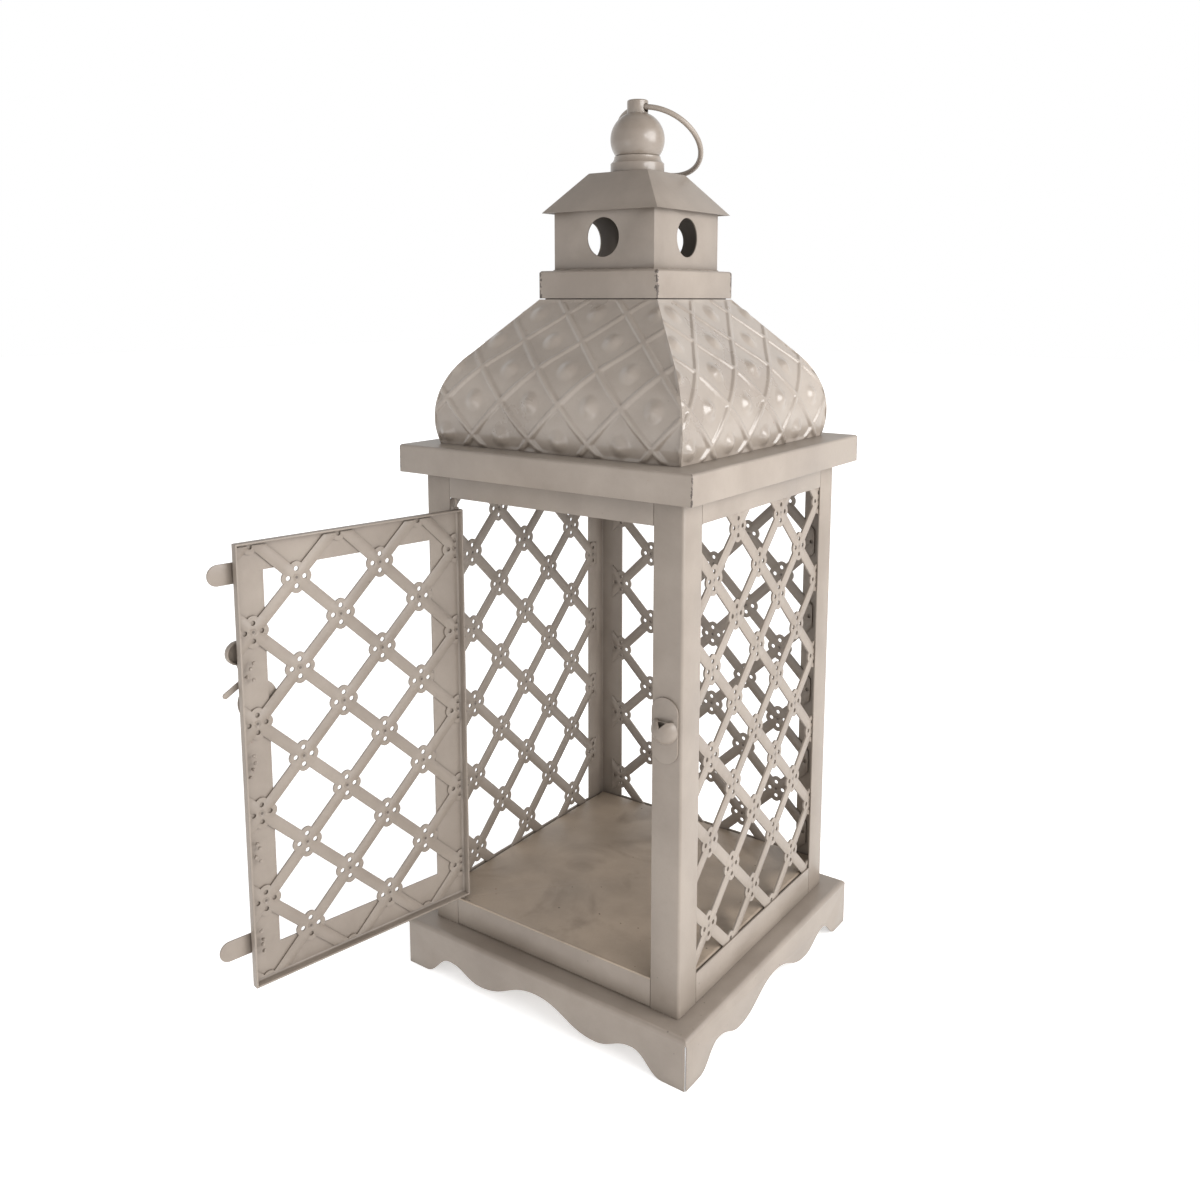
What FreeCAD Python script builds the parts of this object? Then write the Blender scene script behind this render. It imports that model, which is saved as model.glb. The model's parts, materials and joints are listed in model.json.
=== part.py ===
import FreeCAD, Part
import math
import os
import re

from FreeCAD import Placement, Rotation, Vector

# Square candle lantern in folded sheet steel, millimetres, +Z up. The origin is the middle of the
# footprint at ground level, the doorway looks along -Y, and the door is hinged at its left stile.
# Every size below is a cell of the spreadsheet "dims", and the objects are bound to those cells.

DIMENSIONS = {
    "sheet": 0.8,
    "seam": 0.15,
    "run_clear": 0.1,
    "bend": 1.2,
    "overrun": 1.0,
    # overall widths and heights
    "body_half": 68.0,
    "tower_half": 26.5,
    "plinth_top": 22.4,
    "sill_rise": 13.6,
    "window_high": 191.2,
    "head_rail": 22.5,
    # plinth with scalloped aprons
    "plinth_step": 9.5,
    "plinth_bend": 2.4,
    "plinth_rim": 17.5,
    "apron_cusp_height": 12.5,
    "apron_lobe_at": 32.0,
    "apron_lobe_height": 3.6,
    "apron_peak_from_foot": 15.5,
    "apron_peak_height": 9.0,
    "apron_ease": 0.45,
    "foot_width": 11.0,
    "mitre_gap": 0.6,
    # body frame
    "post_leg": 13.8,
    "sill_slit": 0.6,
    "tray_gap": 0.2,
    "lintel_depth": 6.0,
    # cap plate
    "cap_overhang": 8.3,
    "cap_rim": 12.5,
    # dome
    "dome_step": 4.6,
    "dome_seat": 13.4,
    "dome_belly": 1.8,
    "dome_belly_rise": 11.0,
    "dome_shoulder_in": 10.5,
    "dome_shoulder_rise": 40.7,
    "dome_tip_out": 0.1,
    "dome_rise": 64.0,
    # collar and lamp tower
    "collar_step": 4.9,
    "collar_rim": 12.1,
    "collar_gap": 0.3,
    "tower_seat": 3.5,
    "vent_radius": 8.4,
    "vent_rise": 14.1,
    "roof_eave": 4.1,
    "roof_shelf": 3.5,
    "roof_drop": 17.6,
    "roof_low_rise": 25.1,
    # finial and ring
    "finial_radius": 12.0,
    "finial_lip_in": 1.7,
    "finial_lip_wide": 0.9,
    "finial_rise": 7.6,
    "finial_cove": 3.7,
    "bulb_radius": 12.1,
    "bulb_foot_in": 0.7,
    "neck_radius": 4.7,
    "neck_wall": 0.9,
    "neck_rise": 4.8,
    "neck_round": 0.7,
    "ring_axis_clear": 1.25,
    "ring_hole_radius": 1.9,
    "ring_radius": 20.0,
    "ring_wire": 1.2,
    "ring_tilt": 42.0,
    "ring_lean": 6.5,
    # lattice
    "strip_width": 5.0,
    "pitch_across": 19.4,
    "pitch_up": 37.6,
    "rosette_core": 5.4,
    "rosette_lobe": 3.0,
    "rosette_spread": 3.6,
    "rosette_hole": 1.0,
    "panel_lap": 5.8,
    "panel_lap_low": 8.0,
    "panel_lap_high": 8.8,
    "crossing_right_at": -4.0,
    "crossing_right_height": 202.3,
    "crossing_back_at": -4.0,
    "crossing_back_height": 179.0,
    "crossing_left_at": 1.2,
    "crossing_left_height": 195.4,
    "crossing_door_at": 41.5,
    "crossing_door_height": 166.7,
    # door
    "open_angle": 101.0,
    "door_proud": 0.2,
    "door_gap": 0.6,
    "door_free_gap": 1.0,
    "door_gap_low": 2.1,
    "door_gap_high": 5.2,
    "door_flange": 4.5,
    "door_bend": 1.8,
    "stile_hinge": 15.2,
    "stile_free": 12.8,
    "rail_upper": 12.4,
    "rail_lower": 14.3,
    "door_lattice_inset": 2.0,
    "pin_radius": 0.6,
    "pin_grip": 1.5,
    "stop_height": 8.5,
    "stop_upper_from_top": 12.0,
    "stop_upper_reach": 9.7,
    "stop_lower_from_foot": 17.9,
    "stop_lower_reach": 12.6,
    "stop_lap": 8.8,
    # latch
    "latch_from_edge": 8.5,
    "latch_from_foot": 118.9,
    "escutcheon_radius": 8.4,
    "lever_gap": 0.1,
    "lever_hub": 4.6,
    "lever_arm": 21.6,
    "lever_angle": 71.6,
    "lever_width": 4.6,
    "thumb_radius": 4.75,
    "thumb_depth": 2.2,
    "finger_from": 10.6,
    "finger_long": 10.9,
    "finger_angle": -31.0,
    "finger_width": 2.4,
    "rivet_radius": 1.5,
    "rivet_head": 3.0,
    # catch on the right-hand front post
    "catch_wide": 12.2,
    "catch_high": 27.3,
    "catch_drop": 25.4,
    "catch_corner": 6.0,
    "keeper_half": 6.0,
    "keeper_rise": 4.6,
    "keeper_drop": 17.4,
    "keeper_high": 10.2,
    "keeper_wall": 0.7,
}

# Short names for places that several pieces share, written in terms of the cells.
PLACES = {
    "plinth_half": "(body_half + plinth_step)",
    "foot_inner": "(plinth_half - foot_width)",
    "window_half": "(body_half - post_leg)",
    "sill_top": "(plinth_top + sill_rise)",
    "head_low": "(sill_top + window_high)",
    "cap_low": "(head_low + head_rail)",
    "cap_half": "(body_half + cap_overhang)",
    "cap_top": "(cap_low + sheet)",
    "tray_half": "(body_half - 2 * sheet - tray_gap)",
    "dome_half": "(body_half - dome_step)",
    "dome_top": "(cap_top + dome_rise)",
    "collar_half": "(tower_half + collar_step)",
    "dome_top_half": "(collar_half + dome_tip_out)",
    "collar_low": "(dome_top + collar_gap)",
    "collar_top": "(collar_low + collar_rim)",
    "roof_half": "(tower_half + roof_eave)",
    "roof_top_half": "(finial_radius + roof_shelf)",
    "roof_run": "((roof_half - roof_top_half) / roof_drop)",
    "roof_lean": "(sheet * sqrt(1 + 1 / roof_run ^ 2))",
    "roof_low": "(collar_top + roof_low_rise)",
    "roof_top": "(roof_low + roof_drop)",
    "vent_height": "(collar_top + vent_rise)",
    "lip_height": "(roof_top + finial_rise)",
    "lip_radius": "(finial_radius - finial_lip_in)",
    "bulb_height": "(lip_height + sqrt(bulb_radius ^ 2 - (lip_radius - bulb_foot_in) ^ 2))",
    "neck_tall": "(bulb_radius + neck_rise)",
    "ring_height": "(bulb_height + bulb_radius + ring_axis_clear)",
    "ring_arm": "sqrt(ring_radius ^ 2 - (neck_radius - neck_wall / 2) ^ 2)",
    "panel_half": "(window_half + panel_lap)",
    "panel_low": "(sill_top - panel_lap_low)",
    "panel_high": "(head_low + panel_lap_high)",
    "door_face": "(0 - body_half - door_proud)",
    "door_low": "(sill_top + door_gap_low)",
    "door_high": "(head_low - door_gap_high)",
    "door_wide": "(2 * window_half - door_gap - door_free_gap)",
    "hinge_edge": "(0 - window_half + door_gap)",
    "free_edge": "(hinge_edge + door_wide)",
    "pivot_x": "(hinge_edge + door_bend)",
    "pivot_y": "(door_face + door_bend)",
    "stop_upper_height": "(door_high - stop_upper_from_top)",
    "stop_lower_height": "(door_low + stop_lower_from_foot)",
    "latch_x": "(free_edge - latch_from_edge)",
    "latch_height": "(door_low + latch_from_foot)",
    "lever_back": "(door_face - sheet - lever_gap)",
    "lever_front": "(lever_back - sheet)",
    "catch_left": "(window_half + door_proud)",
    "catch_low": "(latch_height - catch_drop)",
    "keeper_low": "(latch_height - keeper_drop)",
    "keeper_x": "(catch_left + catch_wide / 2)",
    "keeper_ball": "((keeper_half ^ 2 + keeper_rise ^ 2) / (2 * keeper_rise))",
    "keeper_y": "(0 - body_half - sheet - keeper_rise + keeper_ball)",
}

SIDES = ("front", "right", "back", "left")
AXES = {"X": 0, "Y": 1, "Z": 2}

doc = FreeCAD.newDocument("CandleLantern")
dims = doc.addObject("Spreadsheet::Sheet", "dims")
nodes = []


def fill_sheet():
    """Write each driving dimension into the spreadsheet under its own alias."""
    for row, (name, value) in enumerate(DIMENSIONS.items(), start=1):
        dims.set(f"A{row}", name)
        dims.set(f"B{row}", str(value))
        dims.setAlias(f"B{row}", name)
    doc.recompute()


def spelled(text):
    """Expand the shared places in an expression until only cell names are left."""
    for name, meaning in reversed(list(PLACES.items())):
        text = re.sub(rf"\b{name}\b", meaning, text)
    return text


def expression(text):
    """Turn an expression in cell names into one that the document can evaluate."""
    return re.sub(r"[a-z_]+", lambda m: "dims." + m[0] if m[0] in DIMENSIONS else m[0], spelled(text))


def bind(thing, **properties):
    """Bind properties to expressions; an underscore in a name stands for a dot."""
    for name, text in properties.items():
        thing.setExpression(name.replace("_", "."), expression(text))


def size(text):
    """Value of an expression in cell names, for shapes made with Part's own functions."""
    probe = dims.evalExpression(re.sub(r"dims\.", "", expression(text)))
    return float(probe)


def node(thing, name):
    """Name an object as a finished sub-part and keep it for export."""
    thing.Label = name
    nodes.append(thing)
    return thing


def place(thing, x="0", y="0", z="0", turn="0", about=("0", "0")):
    """Place an object at x, y, z and then turn it about a vertical line."""
    px, py = about
    bind(
        thing,
        Placement_Base_x=f"{px} + ({x} - {px}) * cos({turn}) - ({y} - {py}) * sin({turn})",
        Placement_Base_y=f"{py} + ({x} - {px}) * sin({turn}) + ({y} - {py}) * cos({turn})",
        Placement_Base_z=z,
        Placement_Rotation_Angle=turn,
    )
    return thing


def turning_about(thing, axis):
    """Give an object the axis that a bound angle turns it about."""
    thing.Placement = Placement(Vector(), Rotation(axis, 1))


def on_door(thing):
    """Swing a piece that was made with the door shut to the open rest position."""
    return place(thing, turn="(0 - open_angle)", about=("pivot_x", "pivot_y"))


def box(name, low, sizes):
    """Axis-aligned block from its lowest corner and its three sizes."""
    block = doc.addObject("Part::Box", name)
    bind(block, Length=sizes[0], Width=sizes[1], Height=sizes[2])
    bind(block, Placement_Base_x=low[0], Placement_Base_y=low[1], Placement_Base_z=low[2])
    return block


def cylinder(name, start, radius, length, axis="Z"):
    """Cylinder from its start point along +X, +Y or +Z."""
    turned = {"X": Rotation(Vector(0, 1, 0), 90), "Y": Rotation(Vector(1, 0, 0), -90), "Z": Rotation()}
    rod = doc.addObject("Part::Cylinder", name)
    rod.Placement = Placement(Vector(), turned[axis])
    bind(rod, Radius=radius, Height=length)
    bind(rod, Placement_Base_x=start[0], Placement_Base_y=start[1], Placement_Base_z=start[2])
    return rod


def sphere(name, centre, radius):
    """Ball at a centre."""
    ball = doc.addObject("Part::Sphere", name)
    bind(ball, Radius=radius)
    bind(ball, Placement_Base_x=centre[0], Placement_Base_y=centre[1], Placement_Base_z=centre[2])
    return ball


def cut(name, base, *tools):
    """One solid less one or more others."""
    result = doc.addObject("Part::Cut", name)
    result.Base = base
    result.Tool = tools[0] if len(tools) == 1 else fuse(name + "_tools", *tools)
    return result


def fuse(name, *shapes):
    """Several solids made into one."""
    result = doc.addObject("Part::MultiFuse", name)
    result.Shapes = list(shapes)
    result.Refine = True
    return result


def common(name, *shapes):
    """The space that several solids share."""
    result = doc.addObject("Part::MultiCommon", name)
    result.Shapes = list(shapes)
    return result


def lies_on(element, shape, side):
    """True where a face or edge lies flat in one side of a shape's box, such as "+Z"."""
    axis = AXES[side[1]]
    bounds = (element.BoundBox, shape.BoundBox)
    spans = [((b.XMin, b.XMax), (b.YMin, b.YMax), (b.ZMin, b.ZMax))[axis] for b in bounds]
    level = spans[1][0] if side[0] == "-" else spans[1][1]
    return max(abs(spans[0][0] - level), abs(spans[0][1] - level)) < 1e-4


def shared_edges(shape, corners):
    """Names of the edges where two named sides of a block meet."""
    return [
        f"Edge{i}"
        for i, edge in enumerate(shape.Edges, start=1)
        if any(all(lies_on(edge, shape, side) for side in pair) for pair in corners)
    ]


def side_faces(shape, sides):
    """Names of the faces that lie flat in the named sides of a block."""
    return [
        f"Face{i}"
        for i, face in enumerate(shape.Faces, start=1)
        if any(lies_on(face, shape, side) for side in sides)
    ]


def pad_box(body, kind, name, low, sizes):
    """Block added to a body or taken from it, with its sizes and place bound."""
    block = body.newObject(f"PartDesign::{kind}", name)
    bind(block, Length=sizes[0], Width=sizes[1], Height=sizes[2])
    bind(block, Placement_Base_x=low[0], Placement_Base_y=low[1], Placement_Base_z=low[2])
    doc.recompute()
    return block


def folded(name, low, sizes, corners, open_sides, radius="bend"):
    """Sheet folded from a blank: rounded bends at the named corners, open at the named sides."""
    body = doc.addObject("PartDesign::Body", name)
    blank = pad_box(body, "AdditiveBox", name + "_blank", low, sizes)
    bends = body.newObject("PartDesign::Fillet", name + "_bends")
    bends.Base = (blank, shared_edges(blank.Shape, corners))
    bind(bends, Radius=radius)
    doc.recompute()
    shell = body.newObject("PartDesign::Thickness", name + "_shell")
    shell.Base = (bends, side_faces(bends.Shape, open_sides))
    shell.Reversed = True
    bind(shell, Value="sheet")
    doc.recompute()
    return body


def crown_corners():
    """The four corners round the top of an upturned tray."""
    return [("+Z", side) for side in ("-X", "+X", "-Y", "+Y")]


def span(half):
    """Start and size of a run that is centred on zero."""
    return f"(0 - {half})", f"(2 * {half})"


def square_tray(name, half, low, high, opening_half):
    """Upturned square tray with a square opening in its top."""
    start, wide = span(half)
    body = folded(name, (start, start, low), (wide, wide, f"{high} - {low}"), crown_corners(), ["-Z"])
    start, wide = span(opening_half)
    pad_box(body, "SubtractiveBox", name + "_opening", (start, start, f"{high} - sheet - overrun"),
            (wide, wide, "sheet + 2 * overrun"))
    return body


def apron_outline(reach, bottom, depth):
    """Closed face under the scalloped edge of one apron, in an XZ plane."""
    def swell(a, b):
        ease = Vector(size("apron_ease") * (b.x - a.x), 0, 0)
        curve = Part.BezierCurve()
        curve.setPoles([a, a + ease, b - ease, b])
        return curve.toShape()

    half = [Vector(0, depth, size("apron_cusp_height")),
            Vector(size("apron_lobe_at"), depth, size("apron_lobe_height")),
            Vector(size("foot_inner - apron_peak_from_foot"), depth, size("apron_peak_height")),
            Vector(size("foot_inner"), depth, 0)]
    mirrored = [Vector(-p.x, depth, p.z) for p in reversed(half[1:])]
    points = mirrored + half
    edges = [swell(a, b) for a, b in zip(points, points[1:])]
    below = [points[-1], Vector(reach, depth, bottom), Vector(-reach, depth, bottom), points[0]]
    edges += [Part.makeLine(a, b) for a, b in zip(below, below[1:])]
    return Part.Face(Part.Wire(edges))


def apron_cutter(name, turn):
    """Prism that trims two facing aprons to the scalloped outline."""
    deep = size("2 * plinth_half + 2 * overrun")
    face = apron_outline(size("foot_inner"), -size("overrun"), -deep / 2)
    cutter = doc.addObject("Part::Feature", name)
    cutter.Shape = face.extrude(Vector(0, deep, 0))
    cutter.Placement = Placement(Vector(), Rotation(Vector(0, 0, 1), turn))
    return cutter


def make_plinth():
    """Plinth: flat top frame, four hanging scalloped aprons and an open mitre at each corner."""
    start, wide = span("plinth_half")
    body = folded("plinth_fold", (start, start, "0"), (wide, wide, "plinth_top"), crown_corners(), ["-Z"],
                  "plinth_bend")
    start, wide = span("(plinth_half - plinth_rim)")
    pad_box(body, "SubtractiveBox", "plinth_opening", (start, start, "plinth_top - sheet - overrun"),
            (wide, wide, "sheet + 2 * overrun"))
    mitres = []
    for quarter in range(4):
        slit = doc.addObject("Part::Box", f"mitre_{quarter}")
        bind(slit, Length="4 * plinth_bend", Width="mitre_gap", Height="plinth_top - plinth_bend + overrun")
        reach = "(sqrt(2) * plinth_half - 3 * plinth_bend)"
        place(slit, x=reach, y="(0 - mitre_gap / 2)", z="(0 - overrun)", turn=str(45 + 90 * quarter))
        mitres.append(slit)
    cutters = [apron_cutter("apron_cutter_x", 0), apron_cutter("apron_cutter_y", 90)]
    node(cut("base_plinth", body, *mitres, *cutters), "base_plinth")


def make_posts():
    """Four corner posts, each an angle with a rounded bend."""
    for quarter in range(4):
        name = f"corner_post_{quarter + 1}"
        body = folded(name, ("window_half", "(0 - body_half)", "plinth_top"),
                      ("post_leg", "post_leg", "cap_low - plinth_top"),
                      [("+X", "-Y")], ["-X", "+Y", "-Z", "+Z"])
        place(body, turn=str(90 * quarter))
        node(body, name)


def make_rails():
    """Strips between the posts: four below the windows, the front one clear of the plinth, and four above."""
    start = "(seam - window_half)"
    wide = "2 * (window_half - seam)"
    for quarter, side in enumerate(SIDES):
        low_rail = doc.addObject("Part::Box", f"bottom_rail_{side}")
        foot = "(plinth_top + sill_slit)" if side == "front" else "plinth_top"
        top = "(sill_top - sheet)" if side == "front" else "sill_top"
        bind(low_rail, Length=wide, Width="sheet", Height=f"{top} - {foot}")
        place(low_rail, start, "(0 - body_half)", foot, str(90 * quarter))
        node(low_rail, low_rail.Name)
        if side == "front":
            make_lintel(start, wide)
            continue
        top_rail = doc.addObject("Part::Box", f"top_rail_{side}")
        bind(top_rail, Length=wide, Width="sheet", Height="head_rail")
        place(top_rail, start, "(0 - body_half)", "head_low", str(90 * quarter))
        node(top_rail, top_rail.Name)


def make_lintel(start, wide):
    """Front top rail, folded back along its lower edge to hold the upper hinge pin."""
    corner = (start, "(0 - body_half)", "head_low")
    face = box("lintel_face", corner, (wide, "sheet", "head_rail"))
    lip = box("lintel_lip", corner, (wide, "lintel_depth", "sheet"))
    hole = cylinder("lintel_hole", ("pivot_x", "pivot_y", "head_low - overrun"), "pin_radius + run_clear",
                    "sheet + 2 * overrun")
    node(cut("top_rail_front", fuse("lintel_fold", face, lip), hole), "top_rail_front")


def make_tray():
    """Floor tray: lips down on three sides and a tongue over the front rail."""
    start, wide = span("tray_half")
    front = "(0 - body_half + sheet + seam)"
    tongue = ("(seam - window_half)", "(0 - body_half)", "sill_top - sheet")
    corners = [("+Z", "-X"), ("+Z", "+X"), ("+Z", "+Y")]
    body = folded("floor_tray", (start, front, "plinth_top"), (wide, f"tray_half - {front}", "sill_rise"),
                  corners, ["-Z", "-Y"])
    pad_box(body, "AdditiveBox", "tray_tongue", tongue, ("2 * (window_half - seam)", "2 * sheet", "sheet"))
    hole = body.newObject("PartDesign::SubtractiveCylinder", "tray_hole")
    bind(hole, Radius="pin_radius + run_clear", Height="sheet + 2 * overrun", Placement_Base_x="pivot_x",
         Placement_Base_y="pivot_y", Placement_Base_z="sill_top - sheet - overrun")
    node(body, "floor_tray")


def rosette(centre):
    """Quatrefoil face at a crossing of the lattice, in the XZ plane."""
    def disc(dx, dz, radius):
        circle = Part.Circle(centre + Vector(dx, 0, dz), Vector(0, 1, 0), radius)
        return Part.Face(Part.Wire(circle.toShape()))

    spread = size("rosette_spread")
    offsets = [(spread, 0), (0, spread), (-spread, 0), (0, -spread)]
    lobes = [disc(dx, dz, size("rosette_lobe")) for dx, dz in offsets]
    holes = [disc(dx, dz, size("rosette_hole")) for dx, dz in offsets]
    return disc(0, 0, size("rosette_core")).multiFuse(lobes).removeSplitter(), holes


def strip(centre, rise, long):
    """Diagonal strip of the lattice through a crossing, in the XZ plane."""
    along = Vector(size("pitch_across"), 0, rise).normalize()
    across = Vector(-along.z, 0, along.x) * (size("strip_width") / 2)
    ends = (centre - along * long, centre + along * long)
    return Part.Face(Part.makePolygon([ends[0] - across, ends[1] - across, ends[1] + across,
                                       ends[0] + across, ends[0] - across]))


def lattice(wide, low, high, first_x, first_z):
    """Pierced lattice sheet from x 0 to wide; the two "first" values place one crossing."""
    pitch_x = size("pitch_across")
    pitch_z = size("pitch_up")
    reach = size("rosette_spread + rosette_lobe")
    long = wide + high - low
    columns = range(math.floor(-first_x / pitch_x), math.ceil((wide - first_x) / pitch_x) + 1)
    lowest = math.floor((low - first_z - wide) / pitch_z)
    highest = math.ceil((high - first_z + wide) / pitch_z)
    strips = []
    crossings = []
    for column in columns:
        for row in range(lowest, highest + 1):
            centre = Vector(first_x + column * pitch_x, 0, first_z + (row + (column % 2) / 2) * pitch_z)
            if column == 0:
                strips += [strip(centre, rise, long) for rise in (pitch_z / 2, -pitch_z / 2)]
            if -reach < centre.x < wide + reach and low - reach < centre.z < high + reach:
                crossings.append(rosette(centre))
    flowers = [flower for flower, _ in crossings]
    holes = [hole for _, ring in crossings for hole in ring]
    window = Part.Face(Part.makePolygon([Vector(0, 0, low), Vector(wide, 0, low), Vector(wide, 0, high),
                                         Vector(0, 0, high), Vector(0, 0, low)]))
    pieces = strips[0].multiFuse(strips[1:] + flowers).common(window).cut(holes)
    merged = Part.Shell(pieces.Faces).removeSplitter()
    whole = max(merged.Faces, key=lambda face: face.Area)
    return whole.extrude(Vector(0, size("sheet"), 0))


def make_side_lattices():
    """Three fixed lattice panels behind the left, right and back windows."""
    for quarter, side in enumerate(SIDES):
        if side == "front":
            continue
        panel = doc.addObject("Part::Feature", f"lattice_panel_{side}")
        panel.Shape = lattice(size("2 * panel_half"), size("panel_low"), size("panel_high"),
                              size(f"panel_half + crossing_{side}_at"), size(f"crossing_{side}_height"))
        place(panel, "(0 - panel_half)", "(sheet - body_half)", "0", str(90 * quarter))
        node(panel, panel.Name)


def dome_profile():
    """Section of one dome panel in the YZ plane, leaning away from the front."""
    foot = size("cap_top")
    base = Vector(0, -size("dome_half"), foot)
    belly = Vector(0, -size("dome_half + dome_belly"), foot + size("dome_belly_rise"))
    shoulder = Vector(0, -size("dome_half - dome_shoulder_in"), foot + size("dome_shoulder_rise"))
    top = Vector(0, -size("dome_top_half"), foot + size("dome_rise"))
    bow = Part.Arc(base, belly, shoulder)
    hub = bow.toShape().Curve.Center
    sheet = size("sheet")
    slope = (top - shoulder).normalize()
    inward = Vector(0, slope.z, -slope.y)
    inner = [p + (hub - p).normalize() * sheet for p in (base, belly, shoulder)]
    inner_base = Vector(0, inner[0].y, foot)
    outer = [bow.toShape(), Part.makeLine(shoulder, top)]
    tip = top + inward * sheet
    inside = [Part.makeLine(top, tip), Part.makeLine(tip, inner[2]),
              Part.Arc(inner[2], inner[1], inner[0]).toShape()]
    closing = [Part.makeLine(inner[0], inner_base)] if (inner[0] - inner_base).Length > 1e-6 else []
    return Part.Face(Part.Wire(outer + inside + closing + [Part.makeLine(inner_base, base)]))


def make_dome():
    """Four curved dome panels, mitred along the corners."""
    reach = size("dome_half + dome_belly + overrun")
    gap = size("seam") / 2
    blank = dome_profile().extrude(Vector(2 * reach, 0, 0))
    blank.translate(Vector(-reach, 0, 0))
    low = size("cap_top - overrun")
    wedge = Part.Face(Part.makePolygon([Vector(0, -gap * 2, low), Vector(-reach + gap, -reach, low),
                                        Vector(reach - gap, -reach, low), Vector(0, -gap * 2, low)]))
    leaf = blank.common(wedge.extrude(Vector(0, 0, size("dome_rise + 2 * overrun"))))
    for quarter, side in enumerate(SIDES):
        panel = doc.addObject("Part::Feature", f"dome_panel_{side}")
        panel.Shape = leaf.Solids[0]
        place(panel, turn=str(90 * quarter))
        node(panel, panel.Name)


def make_tower():
    """Lamp tower: square box with a round vent in each wall."""
    high = "(roof_low_rise + roof_eave / roof_run)"
    start, wide = span("tower_half")
    outer = box("tower_outer", (start, start, "collar_top"), (wide, wide, f"{high} - roof_lean"))
    start, wide = span("(tower_half - sheet)")
    inner = box("tower_inner", (start, start, "collar_top - overrun"), (wide, wide, f"{high} + overrun"))
    start, long = span("(tower_half + overrun)")
    vents = [
        cylinder("vent_x", (start, "0", "vent_height"), "vent_radius", long, "X"),
        cylinder("vent_y", ("0", start, "vent_height"), "vent_radius", long, "Y"),
    ]
    node(cut("tower_box", outer, inner, *vents), "tower_box")


def frustum(name, low_half, top_half, low, high):
    """Square frustum between two levels."""
    block = doc.addObject("Part::Wedge", name)
    block.Placement = Placement(Vector(), Rotation(Vector(1, 0, 0), 90))
    bind(block, Xmin=f"(0 - {low_half})", Xmax=low_half, Zmin=f"(0 - {low_half})", Zmax=low_half,
         X2min=f"(0 - {top_half})", X2max=top_half, Z2min=f"(0 - {top_half})", Z2max=top_half,
         Ymin="0", Ymax=f"{high} - {low}", Placement_Base_z=low)
    return block


def make_roof():
    """Tower roof: hollow square frustum with a flat top, open below."""
    outer = frustum("roof_outer", "roof_half", "roof_top_half", "roof_low", "roof_top")
    inner = frustum("roof_inner", "(roof_half + (overrun - roof_lean) * roof_run)",
                    "(roof_top_half - (roof_lean - sheet) * roof_run)",
                    "(roof_low - overrun)", "(roof_top - sheet)")
    node(cut("tower_roof", outer, inner), "tower_roof")


def make_finial():
    """Finial: coved collar, hollow bulb and drilled neck."""
    drum = cylinder("finial_drum", ("0", "0", "roof_top"), "finial_radius", "finial_rise")
    cove = doc.addObject("Part::Torus", "finial_cove_ring")
    bind(cove, Radius1="lip_radius + finial_cove", Radius2="finial_cove", Placement_Base_z="lip_height")
    bore = cylinder("finial_seat", ("0", "0", "roof_top + sheet"), "lip_radius - finial_lip_wide",
                    "finial_rise")
    node(cut("finial_collar", drum, cove, bore), "finial_collar")

    ball = sphere("bulb_outer", ("0", "0", "bulb_height"), "bulb_radius")
    hollow = sphere("bulb_inner", ("0", "0", "bulb_height"), "bulb_radius - sheet")
    start, wide = span("bulb_radius")
    mouth = box("bulb_mouth", (start, start, "lip_height - bulb_radius"), (wide, wide, "bulb_radius"))
    eye = cylinder("bulb_eye", ("0", "0", "bulb_height"), "neck_radius - neck_wall", "neck_tall")
    node(cut("finial_bulb", ball, hollow, mouth, eye), "finial_bulb")

    body = doc.addObject("PartDesign::Body", "neck_blank")
    stem = body.newObject("PartDesign::AdditiveCylinder", "neck_stem")
    bind(stem, Radius="neck_radius", Height="neck_tall", Placement_Base_z="bulb_height")
    doc.recompute()
    crown = body.newObject("PartDesign::Fillet", "neck_crown")
    crown.Base = (stem, shared_edges(stem.Shape, [("+Z",)]))
    bind(crown, Radius="neck_round")
    inside = cylinder("neck_inner", ("0", "0", "bulb_height"), "neck_radius - neck_wall",
                      "neck_tall - neck_wall")
    seat = sphere("neck_seat", ("0", "0", "bulb_height"), "bulb_radius")
    start, long = span("(neck_radius + overrun)")
    hole = cylinder("neck_hole", (start, "0", "ring_height"), "ring_hole_radius", long, "X")
    node(cut("finial_neck", body, inside, seat, hole), "finial_neck")


def make_ring():
    """Hanging ring through the neck, lying back over the bulb and leaning a little to the right."""
    ring = doc.addObject("Part::Torus", "hanging_ring")
    turning_about(ring, Vector(-1, 0, 0))
    back = "ring_arm * cos(ring_lean)"
    bind(ring, Radius1="ring_radius", Radius2="ring_wire", Placement_Rotation_Angle="ring_tilt",
         Placement_Base_x="ring_arm * sin(ring_lean)", Placement_Base_y=f"{back} * cos(ring_tilt)",
         Placement_Base_z=f"ring_height - {back} * sin(ring_tilt)")
    node(ring, "hanging_ring")


def make_door():
    """Door frame: sheet tray open at the back, with its window and its hinge corners."""
    body = folded("door_fold", ("hinge_edge", "door_face", "door_low"),
                  ("door_wide", "door_flange", "door_high - door_low"),
                  [("-Y", side) for side in ("-X", "+X", "-Z", "+Z")], ["+Y"], "door_bend")
    pad_box(body, "SubtractiveBox", "door_window",
            ("hinge_edge + stile_hinge", "door_face - overrun", "door_low + rail_lower"),
            ("door_wide - stile_hinge - stile_free", "sheet + 2 * overrun",
             "door_high - door_low - rail_lower - rail_upper"))
    node(on_door(body), "door_frame")


def make_door_lattice():
    """Lattice sheet on the inner face of the door frame."""
    sheet = doc.addObject("Part::Feature", "door_lattice")
    sheet.Shape = lattice(size("door_wide - 2 * door_lattice_inset"),
                          size("door_low + door_lattice_inset"), size("door_high - door_lattice_inset"),
                          size("crossing_door_at - door_lattice_inset"), size("crossing_door_height"))
    place(sheet, "hinge_edge + door_lattice_inset", "door_face + sheet", "0", "(0 - open_angle)",
          ("pivot_x", "pivot_y"))
    node(sheet, "door_lattice")


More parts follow.
